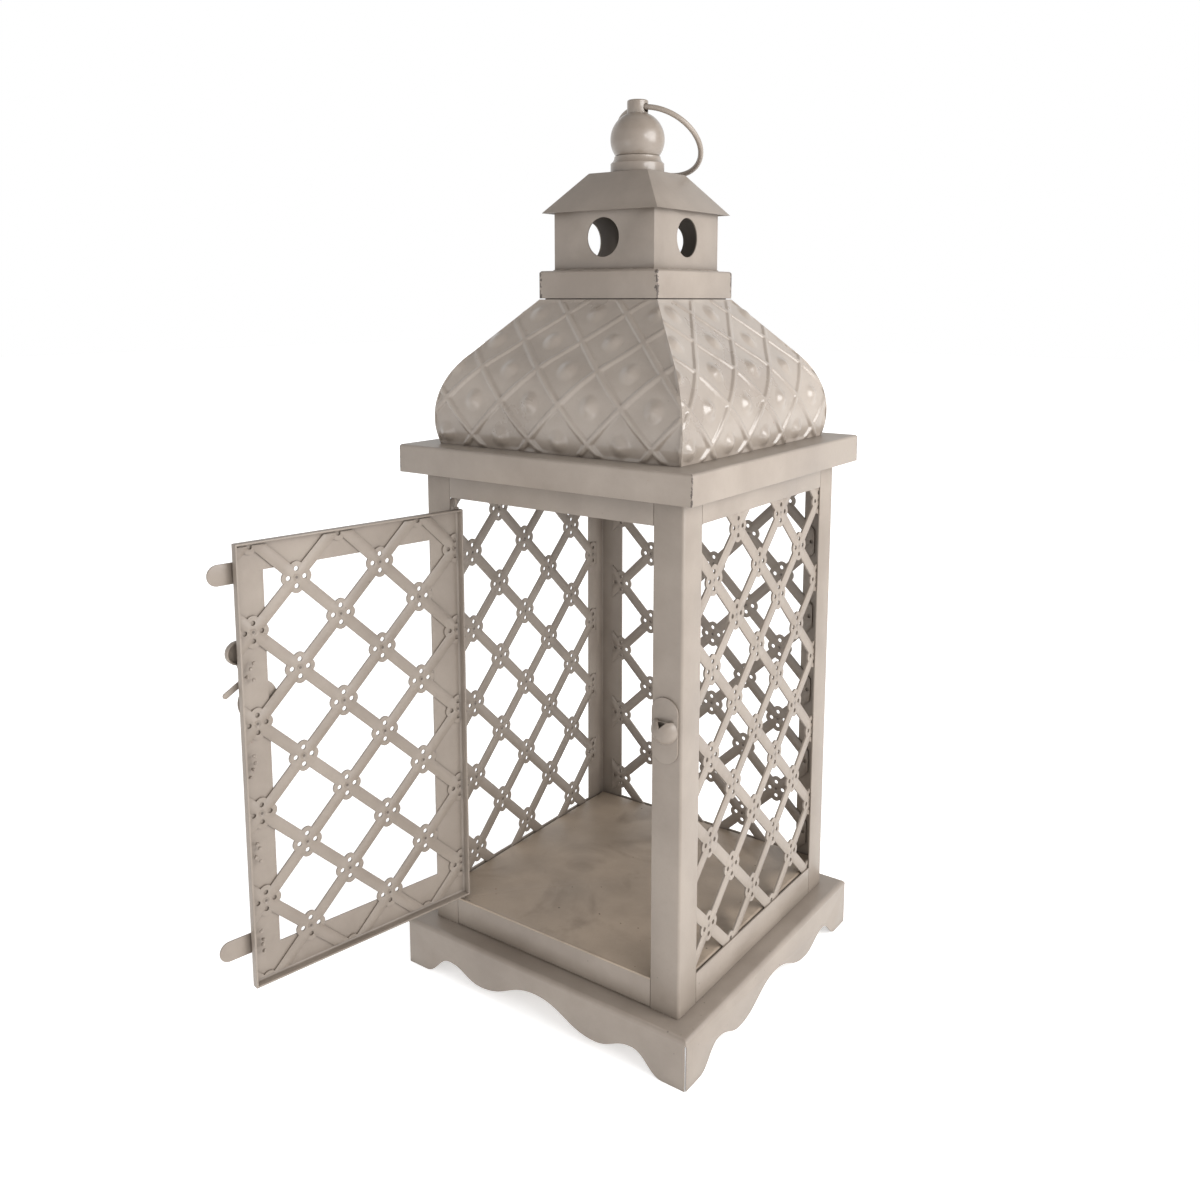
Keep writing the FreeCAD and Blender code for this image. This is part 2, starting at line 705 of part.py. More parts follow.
def make_pins():
    """Hinge pins: collared above the door, plain below it."""
    upper = cylinder("pin_up", ("pivot_x", "pivot_y", "door_high"), "pin_radius",
                     "door_gap_high + sheet + pin_grip")
    collar = cylinder("pin_collar", ("pivot_x", "pivot_y", "door_high"), "2 * pin_radius", "sheet")
    node(on_door(fuse("hinge_pin_upper", upper, collar)), "hinge_pin_upper")
    lower = cylinder("hinge_pin_lower", ("pivot_x", "pivot_y", "sill_top - sheet - pin_grip"), "pin_radius",
                     "door_gap_low + sheet + pin_grip")
    node(lower, "hinge_pin_lower")


def make_stops():
    """Two round-ended tongues that lap the right-hand post when the door is shut."""
    root = "(free_edge - stop_lap)"
    for name in ("upper", "lower"):
        middle = f"stop_{name}_height"
        end = f"(free_edge + stop_{name}_reach - stop_height / 2)"
        bar = box(f"stop_bar_{name}", (root, "door_face - sheet", f"{middle} - stop_height / 2"),
                  (f"{end} - {root}", "sheet", "stop_height"))
        tip = cylinder(f"stop_tip_{name}", (end, "door_face - sheet", middle), "stop_height / 2",
                       "sheet", "Y")
        node(on_door(fuse(f"door_stop_{name}", bar, tip)), f"door_stop_{name}")


def spoke(name, start, reach, width, angle):
    """Flat bar of the lever from a point, at an angle above +X."""
    bar = doc.addObject("Part::Box", name)
    turning_about(bar, Vector(0, -1, 0))
    bind(bar, Length=reach, Width="sheet", Height=width, Placement_Rotation_Angle=angle,
         Placement_Base_x=f"{start[0]} + sin({angle}) * {width} / 2", Placement_Base_y="lever_front",
         Placement_Base_z=f"{start[1]} - cos({angle}) * {width} / 2")
    return bar


def make_latch():
    """Latch: escutcheon disc, turning lever with thumb cup and hooked finger, and its rivet."""
    hub = ("latch_x", "latch_height")
    centre = ("latch_x", "door_face - sheet", "latch_height")
    disc = cylinder("escutcheon_blank", centre, "escutcheon_radius", "sheet", "Y")
    pierced = cylinder("escutcheon_eye", centre, "rivet_radius", "sheet", "Y")
    node(on_door(cut("latch_escutcheon", disc, pierced)), "latch_escutcheon")

    thumb = ("(latch_x + lever_arm * cos(lever_angle))", "(latch_height + lever_arm * sin(lever_angle))")
    root = ("(latch_x + finger_from * cos(lever_angle))", "(latch_height + finger_from * sin(lever_angle))")
    tip = (f"({root[0]} + finger_long * cos(finger_angle))", f"({root[1]} + finger_long * sin(finger_angle))")
    plates = [
        cylinder("lever_hub_disc", ("latch_x", "lever_front", "latch_height"), "lever_hub", "sheet", "Y"),
        spoke("lever_arm_bar", hub, "lever_arm", "lever_width", "lever_angle"),
        cylinder("lever_thumb", (thumb[0], "lever_back - thumb_depth", thumb[1]), "thumb_radius",
                 "thumb_depth", "Y"),
        spoke("lever_finger", root, "finger_long", "finger_width", "finger_angle"),
        cylinder("lever_tip", (tip[0], "lever_front", tip[1]), "finger_width / 2", "sheet", "Y"),
    ]
    dish = cylinder("thumb_dish", (thumb[0], "lever_back - thumb_depth + sheet", thumb[1]),
                    "thumb_radius - sheet", "thumb_depth", "Y")
    eye = cylinder("lever_eye", ("latch_x", "lever_front - overrun", "latch_height"),
                   "rivet_radius + run_clear", "sheet + 2 * overrun", "Y")
    node(on_door(cut("latch_lever", fuse("lever_blank", *plates), dish, eye)), "latch_lever")

    shank = cylinder("rivet_shank", ("latch_x", "lever_front - seam", "latch_height"), "rivet_radius",
                     "door_face - lever_front + seam", "Y")
    head = cylinder("rivet_cap", ("latch_x", "lever_front - seam - sheet", "latch_height"), "rivet_head",
                    "sheet", "Y")
    node(on_door(fuse("latch_rivet", shank, head)), "latch_rivet")


def make_catch():
    """Catch plate on the right-hand front post, with a half-ball keeper open at its top."""
    body = doc.addObject("PartDesign::Body", "catch_plate_body")
    corner = ("catch_left", "(0 - body_half - sheet)", "catch_low")
    blank = pad_box(body, "AdditiveBox", "catch_blank", corner, ("catch_wide", "sheet", "catch_high"))
    rounds = body.newObject("PartDesign::Fillet", "catch_rounds")
    corners = [(a, b) for a in ("-X", "+X") for b in ("-Z", "+Z")]
    rounds.Base = (blank, shared_edges(blank.Shape, corners))
    bind(rounds, Radius="catch_corner")

    centre = ("keeper_x", "keeper_y", "(keeper_low + keeper_half)")
    ball = sphere("keeper_outer", centre, "keeper_ball")
    hollow = sphere("keeper_inner", centre, "(keeper_ball - keeper_wall)")
    front = "(0 - body_half - sheet - keeper_rise - overrun)"
    limit = box("keeper_limit", ("keeper_x - keeper_ball", front, "keeper_low - overrun"),
                ("2 * keeper_ball", "keeper_rise + overrun", "keeper_high + overrun"))
    keeper = common("keeper", cut("keeper_shell", ball, hollow), limit)
    node(fuse("catch_plate", body, keeper), "catch_plate")


def check_document():
    """Stop before anything is written if an object failed or a sub-part isn't sound."""
    doc.recompute()
    failed = [o.Name for o in doc.Objects if "Invalid" in o.State or "Error" in o.State]
    unsound = [n.Label for n in nodes if n.Shape.isNull() or not n.Shape.isValid() or not n.Shape.Solids]
    if failed or unsound:
        raise RuntimeError(f"failed objects {failed}, unsound sub-parts {unsound}")


def export_nodes():
    """Write each sub-part as parts/NODE.step."""
    os.makedirs("parts", exist_ok=True)
    for item in nodes:
        item.Shape.exportStep(f"parts/{item.Label}.step")
        bounds = item.Shape.BoundBox
        print(f"{item.Label:24s} solids {len(item.Shape.Solids)} volume {item.Shape.Volume:10.1f} "
              f"x {bounds.XMin:7.2f} {bounds.XMax:7.2f} y {bounds.YMin:7.2f} {bounds.YMax:7.2f} "
              f"z {bounds.ZMin:7.2f} {bounds.ZMax:7.2f}")


fill_sheet()
make_plinth()
make_posts()
make_rails()
make_tray()
make_side_lattices()
cap = square_tray("cap_plate", "cap_half", "(cap_top - cap_rim)", "cap_top", "(dome_half - dome_seat)")
node(cap, "cap_plate")
make_dome()
rim = square_tray("collar", "collar_half", "collar_low", "collar_top", "(tower_half - tower_seat)")
node(rim, "collar")
make_tower()
make_roof()
make_finial()
make_ring()
make_door()
make_door_lattice()
make_pins()
make_stops()
make_latch()
make_catch()
check_document()
export_nodes()
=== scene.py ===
import json
import logging
import math
from dataclasses import dataclass, field
from enum import Enum
from typing import NamedTuple

import bpy
from mathutils import Euler, Matrix, Vector, noise


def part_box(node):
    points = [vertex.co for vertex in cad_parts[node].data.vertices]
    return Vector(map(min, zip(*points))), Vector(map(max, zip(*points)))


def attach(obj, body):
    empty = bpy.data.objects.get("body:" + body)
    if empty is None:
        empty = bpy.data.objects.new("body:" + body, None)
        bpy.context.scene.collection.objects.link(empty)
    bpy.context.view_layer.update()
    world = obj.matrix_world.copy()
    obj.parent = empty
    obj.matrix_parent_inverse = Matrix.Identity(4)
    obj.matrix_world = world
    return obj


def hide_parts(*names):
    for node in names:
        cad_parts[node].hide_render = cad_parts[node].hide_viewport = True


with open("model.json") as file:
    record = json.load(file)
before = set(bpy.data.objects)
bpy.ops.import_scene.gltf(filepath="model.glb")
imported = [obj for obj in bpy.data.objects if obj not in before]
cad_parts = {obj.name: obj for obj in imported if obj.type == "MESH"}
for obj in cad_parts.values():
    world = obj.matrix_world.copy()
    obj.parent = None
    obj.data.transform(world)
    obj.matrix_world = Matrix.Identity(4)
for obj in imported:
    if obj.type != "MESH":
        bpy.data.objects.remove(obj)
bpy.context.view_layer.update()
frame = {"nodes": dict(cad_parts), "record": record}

LOG = logging.getLogger("lantern")
JOINTS = {joint["name"]: joint for joint in frame["record"]["behaviour"]["joints"]}
MM = 0.001
UP = Vector((0, 0, 1))

Colour = tuple[float, float, float]
Span = tuple[float, float]
Socket = bpy.types.NodeSocket

# Degrees. Edges sharper than these stay sharp on folded sheet and on weld, and get eased where cut.
FOLD_ANGLE = 32.0
BEAD_ANGLE = 70.0
CUT_EDGE_ANGLE = 40.0
# Degrees. Neighbouring faces nearer to level than this are merged, on round and on lattice pieces.
ROUND_FLATTEN = 0.1
LATTICE_FLATTEN = 4.0
# Places of the colour sockets on a Mix node, which share their names with those of its other types.
MIX_COLOUR_INPUTS = (0, 6, 7)
MIX_COLOUR_OUTPUT = 2
# Without a seed, noise_vector starts from the clock, and the welds differ from run to run.
WELD_SEED = 7


class Side(Enum):
    """The four sides of the lantern, as quarter turns from the doorway."""

    FRONT = 0
    RIGHT = 1
    BACK = 2
    LEFT = 3

    @property
    def angle(self) -> float:
        """Turn from the doorway about +Z, in radians."""
        return self.value * math.pi / 2

    @property
    def word(self) -> str:
        """Lower-case name, as the frame's nodes use it."""
        return self.name.lower()

    @property
    def along(self) -> Vector:
        """Direction that runs from left to right across this side, seen from outside."""
        return Vector((round(math.cos(self.angle)), round(math.sin(self.angle)), 0))


# ---------------------------------------------------------------------------------------------
# Finishes
# ---------------------------------------------------------------------------------------------


class Cloud(NamedTuple):
    """Fractal noise: clouds per metre, octaves, how strong the fine ones are, and how far it swirls."""

    scale: float
    detail: float
    roughness: float = 0.5
    swirl: float = 0.0


class Craft:
    """A material being built: short calls for the nodes that the finishes share."""

    def __init__(self, name: str) -> None:
        """Start a node material with its shader.

        Args:
            name: The material's name.
        """
        self.material = bpy.data.materials.new(name)
        self.material.use_nodes = True
        self.tree = self.material.node_tree
        self.shader = self.tree.nodes["Principled BSDF"]
        self.place = self.tree.nodes.new("ShaderNodeTexCoord").outputs["Object"]

    def feed(self, socket: Socket, value: Socket | float | Vector) -> None:
        """Link a socket into another, or set it to a constant.

        Args:
            socket: The input to fill.
            value: The output or the constant that fills it.
        """
        if isinstance(value, bpy.types.NodeSocket):
            self.tree.links.new(value, socket)
        else:
            socket.default_value = value

    def maths(self, operation: str, first: Socket | float, second: Socket | float = 0.0) -> Socket:
        """Result of one operation on one or two values.

        Args:
            operation: Name of the Math node's operation.
            first: Its first value.
            second: Its second value, where it takes one.

        Returns:
            The result.
        """
        step = self.tree.nodes.new("ShaderNodeMath")
        step.operation = operation
        self.feed(step.inputs[0], first)
        self.feed(step.inputs[1], second)
        return step.outputs["Value"]

    def along(self, direction: Vector) -> Socket:
        """How far a place lies along a direction.

        Args:
            direction: A unit vector.

        Returns:
            The distance in metres.
        """
        step = self.tree.nodes.new("ShaderNodeVectorMath")
        step.operation = "DOT_PRODUCT"
        self.feed(step.inputs[0], self.place)
        self.feed(step.inputs[1], direction)
        return step.outputs["Value"]

    def cloud(self, kind: Cloud) -> Socket:
        """Cloudy value over the surface.

        Args:
            kind: How fine and how rough it is.

        Returns:
            The value, from 0 to 1.
        """
        step = self.tree.nodes.new("ShaderNodeTexNoise")
        step.inputs["Scale"].default_value = kind.scale
        step.inputs["Detail"].default_value = kind.detail
        step.inputs["Roughness"].default_value = kind.roughness
        step.inputs["Distortion"].default_value = kind.swirl
        self.feed(step.inputs["Vector"], self.place)
        return step.outputs["Fac"]

    def levels(self, value: Socket, span: Span, first: float = 0.0, last: float = 1.0) -> Socket:
        """Stretch a value from one span to another, clamped.

        Args:
            value: The value.
            span: Its lowest and highest level.
            first: What the lowest level becomes.
            last: What the highest level becomes.

        Returns:
            The stretched value.
        """
        step = self.tree.nodes.new("ShaderNodeMapRange")
        step.inputs["From Min"].default_value = span[0]
        step.inputs["From Max"].default_value = span[1]
        step.inputs["To Min"].default_value = first
        step.inputs["To Max"].default_value = last
        self.feed(step.inputs["Value"], value)
        return step.outputs["Result"]

    def tones(self, value: Socket, span: Span, first: Colour, second: Colour) -> Socket:
        """Colour that runs from one tone to another as a value rises.

        Args:
            value: The value.
            span: The levels at which the tones are pure.
            first: Tone at the lower level.
            second: Tone at the higher level.

        Returns:
            The colour.
        """
        step = self.tree.nodes.new("ShaderNodeValToRGB")
        for stop, tone, position in zip(step.color_ramp.elements, (first, second), span):
            stop.color = (*tone, 1.0)
            stop.position = position
        self.feed(step.inputs["Fac"], value)
        return step.outputs["Color"]

    def lay_over(self, colour: Socket, share: Socket, tone: Colour) -> Socket:
        """Lay a tone over a colour.

        Args:
            colour: The colour beneath.
            share: How much of the tone covers it.
            tone: The tone.

        Returns:
            The mixed colour.
        """
        step = self.tree.nodes.new("ShaderNodeMix")
        step.data_type = "RGBA"
        factor, beneath, above = (step.inputs[index] for index in MIX_COLOUR_INPUTS)
        self.feed(factor, share)
        self.feed(beneath, colour)
        above.default_value = (*tone, 1.0)
        return step.outputs[MIX_COLOUR_OUTPUT]

    def bump(self, height: Socket, strength: float, depth: float, under: Socket | None = None) -> Socket:
        """Normal of a relief.

        Args:
            height: Its height, from 0 to 1.
            strength: How much of it shows.
            depth: Height of its full range, in metres.
            under: Normal of the relief that it lies on.

        Returns:
            The normal.
        """
        step = self.tree.nodes.new("ShaderNodeBump")
        step.inputs["Strength"].default_value = strength
        step.inputs["Distance"].default_value = depth
        self.feed(step.inputs["Height"], height)
        if under is not None:
            self.feed(step.inputs["Normal"], under)
        return step.outputs["Normal"]


@dataclass(frozen=True)
class Paint:
    """Warm grey satin paint over sheet steel: cloudy tone, pores, painted shade in the corners, a sprayed
    skin.
    """

    name: str
    light: Colour = (0.268, 0.226, 0.189)
    dark: Colour = (0.213, 0.176, 0.145)
    pore: Colour = (0.045, 0.032, 0.024)
    # Tone of the painted shade in the corners.
    corner_shade: Colour = (0.095, 0.073, 0.056)
    rust: Colour = (0.17, 0.065, 0.035)
    roughness: Span = (0.36, 0.50)
    coat: float = 0.0
    gloss: float = 0.5
    coat_roughness: float = 0.14
    tone_cloud: Cloud = Cloud(26.0, 5.0, 0.6)
    tone_span: Span = (0.36, 0.64)
    gloss_span: Span = (0.3, 0.7)
    grain_cloud: Cloud = Cloud(850.0, 2.0)
    grain_span: Span = (0.58, 0.74)
    grain: float = 0.22
    pore_scale: float = 190.0
    pore_span: Span = (0.04, 0.09)
    pore_patches: Cloud = Cloud(19.0, 3.0)
    pore_patch_span: Span = (0.58, 0.66)
    pores: float = 0.6
    chip_cloud: Cloud = Cloud(240.0, 3.0, 0.6)
    chip_span: Span = (0.72, 0.76)
    chip_patches: Cloud = Cloud(33.0, 2.0)
    chip_patch_span: Span = (0.60, 0.68)
    chips: float = 0.7
    # Painted shade in the corners: ambient occlusion within this reach darkens the colour towards the corner
    # tone.
    corner_shade_reach: float = 5.0 * MM
    corner_shade_depth: float = 0.5
    corner_shade_span: Span = (0.2, 0.8)
    corner_shade_cloud_span: Span = (0.35, 0.65)
    corner_shade_least: float = 0.55
    corner_shade_samples: int = 6
    dent_cloud: Cloud = Cloud(22.0, 2.0)
    dent_depth: float = 1.2 * MM
    dents: float = 0.25
    peel_cloud: Cloud = Cloud(560.0, 3.0, 0.55)
    peel_depth: float = 0.35 * MM
    peel: float = 0.10

    def material(self) -> bpy.types.Material:
        """Build the finish.

        Returns:
            The material, ready to assign.
        """
        craft = Craft(self.name)
        cloud = craft.cloud(self.tone_cloud)
        colour = craft.tones(cloud, self.tone_span, self.dark, self.light)
        grain = craft.levels(craft.cloud(self.grain_cloud), self.grain_span, last=self.grain)
        colour = craft.lay_over(colour, grain, self.dark)
        colour = craft.lay_over(colour, self.pore_marks(craft), self.pore)
        colour = craft.lay_over(colour, self.rust_marks(craft), self.rust)
        # Painted shade: the colour darkens where surfaces meet.
        colour = craft.lay_over(colour, self.painted_corner_shade(craft, cloud), self.corner_shade)
        colour = self.marked(craft, colour)
        craft.feed(craft.shader.inputs["Base Color"], colour)
        craft.feed(craft.shader.inputs["Roughness"], craft.levels(cloud, self.gloss_span, *self.roughness))
        craft.shader.inputs["Specular IOR Level"].default_value = self.gloss
        craft.shader.inputs["Coat Weight"].default_value = self.coat
        craft.shader.inputs["Coat Roughness"].default_value = self.coat_roughness
        craft.feed(craft.shader.inputs["Normal"], self.skin(craft))
        return craft.material

    def marked(self, craft: Craft, colour: Socket) -> Socket:
        """Marks that only some finishes have; plain paint has none."""
        return colour

    def relief(self, craft: Craft) -> Socket | None:
        """Normal of a relief that only some finishes have."""
        return None

    def pore_marks(self, craft: Craft) -> Socket:
        """Bare pin-pricks, which come in patches.

        Args:
            craft: The material being built.

        Returns:
            Their share of the surface.
        """
        cells = craft.tree.nodes.new("ShaderNodeTexVoronoi")
        cells.inputs["Scale"].default_value = self.pore_scale
        craft.feed(cells.inputs["Vector"], craft.place)
        near = craft.levels(cells.outputs["Distance"], self.pore_span, self.pores, 0.0)
        patches = craft.levels(craft.cloud(self.pore_patches), self.pore_patch_span)
        return craft.maths("MULTIPLY", near, patches)

    def rust_marks(self, craft: Craft) -> Socket:
        """Rare brown chips, which come in patches.

        Args:
            craft: The material being built.

        Returns:
            Their share of the surface.
        """
        chips = craft.levels(craft.cloud(self.chip_cloud), self.chip_span, last=self.chips)
        patches = craft.levels(craft.cloud(self.chip_patches), self.chip_patch_span)
        return craft.maths("MULTIPLY", chips, patches)

    def painted_corner_shade(self, craft: Craft, cloud: Socket) -> Socket:
        """Painted shade where surfaces meet: ambient occlusion darkens the colour, unevenly under a cloud.

        Args:
            craft: The material being built.
            cloud: Value that makes the painted shade uneven.

        Returns:
            Its share of the surface.
        """
        corner = craft.tree.nodes.new("ShaderNodeAmbientOcclusion")
        corner.samples = self.corner_shade_samples
        corner.inputs["Distance"].default_value = self.corner_shade_reach
        corner_shaded = craft.levels(corner.outputs["AO"], self.corner_shade_span, self.corner_shade_depth, 0.0)
        return craft.maths("MULTIPLY", corner_shaded, craft.levels(cloud, self.corner_shade_cloud_span, self.corner_shade_least))

    def skin(self, craft: Craft) -> Socket:
        """Sprayed orange-peel over slow dents, over the finish's own relief."""
        dents = craft.bump(craft.cloud(self.dent_cloud), self.dents, self.dent_depth, self.relief(craft))
        return craft.bump(craft.cloud(self.peel_cloud), self.peel, self.peel_depth, dents)


@dataclass(frozen=True)
class SeamedPaint(Paint):
    """Paint with dark pores and a broken crack down each folded corner of a square cover."""

    half: float = 76.3 * MM
    crack: float = 0.32 * MM
    crack_cloud: Cloud = Cloud(620.0, 3.0, 0.7)
    crack_span: Span = (0.42, 0.60)
    crack_widest: float = 2.6
    crack_depth: float = 0.9

    def marked(self, craft: Craft, colour: Socket) -> Socket:
        """Darken the corner lines where the weld is open.

        Args:
            craft: The material being built.
            colour: The colour beneath.

        Returns:
            The marked colour.
        """
        across = craft.maths("ABSOLUTE", craft.maths("SUBTRACT", self.outwards(craft, "X"), self.half))
        deep = craft.maths("ABSOLUTE", craft.maths("SUBTRACT", self.outwards(craft, "Y"), self.half))
        away = craft.maths("MAXIMUM", across, deep)
        widest = self.crack_widest * self.crack
        uneven = craft.levels(craft.cloud(self.crack_cloud), self.crack_span, last=widest)
        near = craft.maths("LESS_THAN", away, uneven)
        return craft.lay_over(colour, craft.maths("MULTIPLY", near, self.crack_depth), self.pore)

    @staticmethod
    def outwards(craft: Craft, axis: str) -> Socket:
        """Distance from the middle plane across an axis.

        Args:
            craft: The material being built.
            axis: X or Y.

        Returns:
            The distance in metres.
        """
        split = craft.tree.nodes.new("ShaderNodeSeparateXYZ")
        craft.feed(split.inputs[0], craft.place)
        return craft.maths("ABSOLUTE", split.outputs[axis])


@dataclass(frozen=True)
class RosettePaint(Paint):
    """Paint on a lattice sheet: crowned strips, and rosettes that swell round a punched centre, with painted
    shade in that centre.
    """

    direction: tuple[float, float, float] = (1.0, 0.0, 0.0)
    start: float = 0.0
    height: float = 0.2
    pitch_across: float = 19.4 * MM
    pitch_up: float = 37.6 * MM
    strip_half: float = 2.5 * MM
    swell: float = 7.0 * MM
    flat_top: float = 0.35
    punch: float = 0.75 * MM
    # Painted shade in the punched centre of each rosette.
    punch_core: float = 0.6
    punch_shade: float = 0.75
    crown_depth: float = 0.6 * MM
    crown_shows: float = 0.8
    swell_depth: float = 0.7 * MM
    swell_shows: float = 0.7

    def steps(self, craft: Craft) -> tuple[Socket, Socket]:
        """Distances from the nearest rising and the nearest falling strip.

        Args:
            craft: The material being built.

        Returns:
            The two distances, in steps of the lattice.
        """
        sideways = craft.maths("SUBTRACT", craft.along(Vector(self.direction)), self.start)
        upwards = craft.maths("SUBTRACT", craft.along(UP), self.height)
        across = craft.maths("DIVIDE", sideways, self.pitch_across)
        up = craft.maths("DIVIDE", upwards, self.pitch_up / 2)
        rising = craft.maths("MULTIPLY", craft.maths("ADD", across, up), 0.5)
        falling = craft.maths("MULTIPLY", craft.maths("SUBTRACT", across, up), 0.5)
        return self.offset(craft, rising), self.offset(craft, falling)

    def away(self, craft: Craft) -> Socket:
        """Distance from the nearest crossing of the strips.

        Args:
            craft: The material being built.

        Returns:
            The distance in metres.
        """
        rising, falling = self.steps(craft)
        aside = craft.maths("MULTIPLY", craft.maths("ADD", rising, falling), self.pitch_across)
        above = craft.maths("MULTIPLY", craft.maths("SUBTRACT", rising, falling), self.pitch_up / 2)
        squares = [craft.maths("POWER", part, 2.0) for part in (aside, above)]
        return craft.maths("SQRT", craft.maths("ADD", *squares))

    def crown(self, craft: Craft) -> Socket:
        """Rounded height across each strip.

        Args:
            craft: The material being built.

        Returns:
            The height, from 0 at a strip's edges to 1 along its middle.
        """
        rising, falling = self.steps(craft)
        nearest = craft.maths("MINIMUM", craft.maths("ABSOLUTE", rising), craft.maths("ABSOLUTE", falling))
        apart = 1 / math.hypot(0.5 / self.pitch_across, 1.0 / self.pitch_up)
        share = craft.levels(nearest, (0.0, self.strip_half / apart))
        return craft.maths("SUBTRACT", 1.0, craft.maths("MULTIPLY", share, share))

    @staticmethod
    def offset(craft: Craft, value: Socket) -> Socket:
        """Signed distance of a value from the nearest whole number."""
        return craft.maths("SUBTRACT", value, craft.maths("ROUND", value))

    def marked(self, craft: Craft, colour: Socket) -> Socket:
        """Paint shade into the punched centre of each rosette.

        Args:
            craft: The material being built.
            colour: The colour beneath.

        Returns:
            The marked colour.
        """
        rim = (self.punch_core * self.punch, self.punch)
        punch_shaded = craft.levels(self.away(craft), rim, self.punch_shade, 0.0)
        return craft.lay_over(colour, punch_shaded, self.pore)

    def relief(self, craft: Craft) -> Socket:
        """Crown of the strips, swelling of the rosettes and the dip of their centres.

        Args:
            craft: The material being built.

        Returns:
            The normal of that relief.
        """
        away = self.away(craft)
        strips = craft.bump(self.crown(craft), self.crown_shows, self.crown_depth)
        raised = craft.levels(away, (self.flat_top * self.swell, self.swell), 1.0, 0.0)
        dip = craft.levels(away, (self.punch, 2.0 * self.punch))
        height = craft.maths("MULTIPLY", raised, dip)
        return craft.bump(height, self.swell_shows, self.swell_depth, strips)


@dataclass(frozen=True)
class StainedPaint(Paint):
    """Paint of the floor tray: wax-coloured drifts, smoky swirls, dark specks and a wide painted shade
    towards its walls.
    """

    light: Colour = (0.385, 0.305, 0.232)
    dark: Colour = (0.285, 0.226, 0.172)
    # Wide, deep painted shade towards the tray's walls.
    corner_shade_reach: float = 22.0 * MM
    corner_shade_depth: float = 0.6
    pores: float = 0.9
    smoke: Colour = (0.130, 0.100, 0.076)
    smoke_cloud: Cloud = Cloud(17.0, 4.0, swirl=2.4)
    smoke_span: Span = (0.54, 0.70)
    smoke_share: float = 0.45
    speck_cloud: Cloud = Cloud(410.0, 1.0)
    speck_span: Span = (0.77, 0.80)
    speck_share: float = 0.85

    def marked(self, craft: Craft, colour: Socket) -> Socket:
        """Add swirls of smoke with soft edges, and a few specks.

        Args:
            craft: The material being built.
            colour: The colour beneath.

        Returns:
            The marked colour.
        """
        swirls = craft.levels(craft.cloud(self.smoke_cloud), self.smoke_span, last=self.smoke_share)
        specks = craft.levels(craft.cloud(self.speck_cloud), self.speck_span, last=self.speck_share)
        colour = craft.lay_over(colour, swirls, self.smoke)
        return craft.lay_over(colour, specks, self.pore)


# ---------------------------------------------------------------------------------------------
# Ways of working
# ---------------------------------------------------------------------------------------------


def eased(share: float) -> float:
    """Smooth step from 0 to 1."""
    held = min(max(share, 0.0), 1.0)
    return held * held * (3 - 2 * held)


def roughened(thing: bpy.types.Object, grain: float, depth: float) -> None:
    """Push every point of a bead about, so that it looks like spattered weld.

    Args:
        thing: The bead.
        grain: Lumps per metre.
        depth: How far a point may move.
    """
    for vertex in thing.data.vertices:
        vertex.co += noise.noise_vector(vertex.co * grain) * depth


def select_only(thing: bpy.types.Object) -> None:
    """Make one object the only one selected, and active.

    Args:
        thing: The object.
    """
    bpy.ops.object.select_all(action="DESELECT")
    thing.select_set(True)
    bpy.context.view_layer.objects.active = thing


def named(name: str) -> bpy.types.Object:
    """Name the active object and its mesh.

    Args:
        name: The name for both.

    Returns:
        The object.
    """
    made = bpy.context.active_object
    made.name = name
    made.data.name = name
    return made


def modified(thing: bpy.types.Object, kind: str, **settings: float | str | bool | bpy.types.Object) -> None:
    """Add a modifier, set it and apply it.

    Args:
        thing: The object to shape.
        kind: The modifier's type.
        settings: Its settings by name.
    """
    select_only(thing)
    modifier = thing.modifiers.new(kind.lower(), kind)
    for setting, value in settings.items():
        setattr(modifier, setting, value)
    bpy.ops.object.modifier_apply(modifier=modifier.name)


def settle(thing: bpy.types.Object) -> None:
    """Move an object's place, turn and size into its mesh."""
    select_only(thing)
    bpy.ops.object.transform_apply(location=True, rotation=True, scale=True)


def smooth(thing: bpy.types.Object, angle: float = FOLD_ANGLE) -> None:
    """Shade smooth except across edges sharper than an angle in degrees."""
    select_only(thing)
    bpy.ops.object.shade_smooth_by_angle(angle=math.radians(angle))


def joined(things: list[bpy.types.Object], name: str) -> bpy.types.Object:
    """Join several objects into one.

    Args:
        things: The objects.
        name: The joined object's name.

    Returns:
        The joined object.
    """
    select_only(things[0])
    for thing in things[1:]:
        thing.select_set(True)
    bpy.ops.object.join()
    return named(name)


def copied(thing: bpy.types.Object, name: str, place: Matrix) -> bpy.types.Object:
    """Copy a piece with its own mesh, moved by a matrix.

    Args:
        thing: The piece to copy.
        name: The copy's name.
        place: Where the copy goes from where the piece is.

    Returns:
        The copy.
    """
    select_only(thing)
    bpy.ops.object.duplicate(linked=False)
    twin = named(name)
    twin.data.transform(place)
    return twin


def fitted(thing: bpy.types.Object, paint: bpy.types.Material, body: str, *nodes: str) -> bpy.types.Object:
    """Paint a finished piece and let it ride on its body.

    Args:
        thing: The piece.
        paint: Its finish.
        body: The body that carries it.
        nodes: The frame's nodes that it stands for.

    Returns:
        The piece.
    """
    thing.data.materials.clear()
    thing.data.materials.append(paint)
    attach(thing, body)
    if nodes:
        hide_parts(*nodes)
    LOG.info("%s: %d faces, on %s", thing.name, len(thing.data.polygons), body)
    return thing


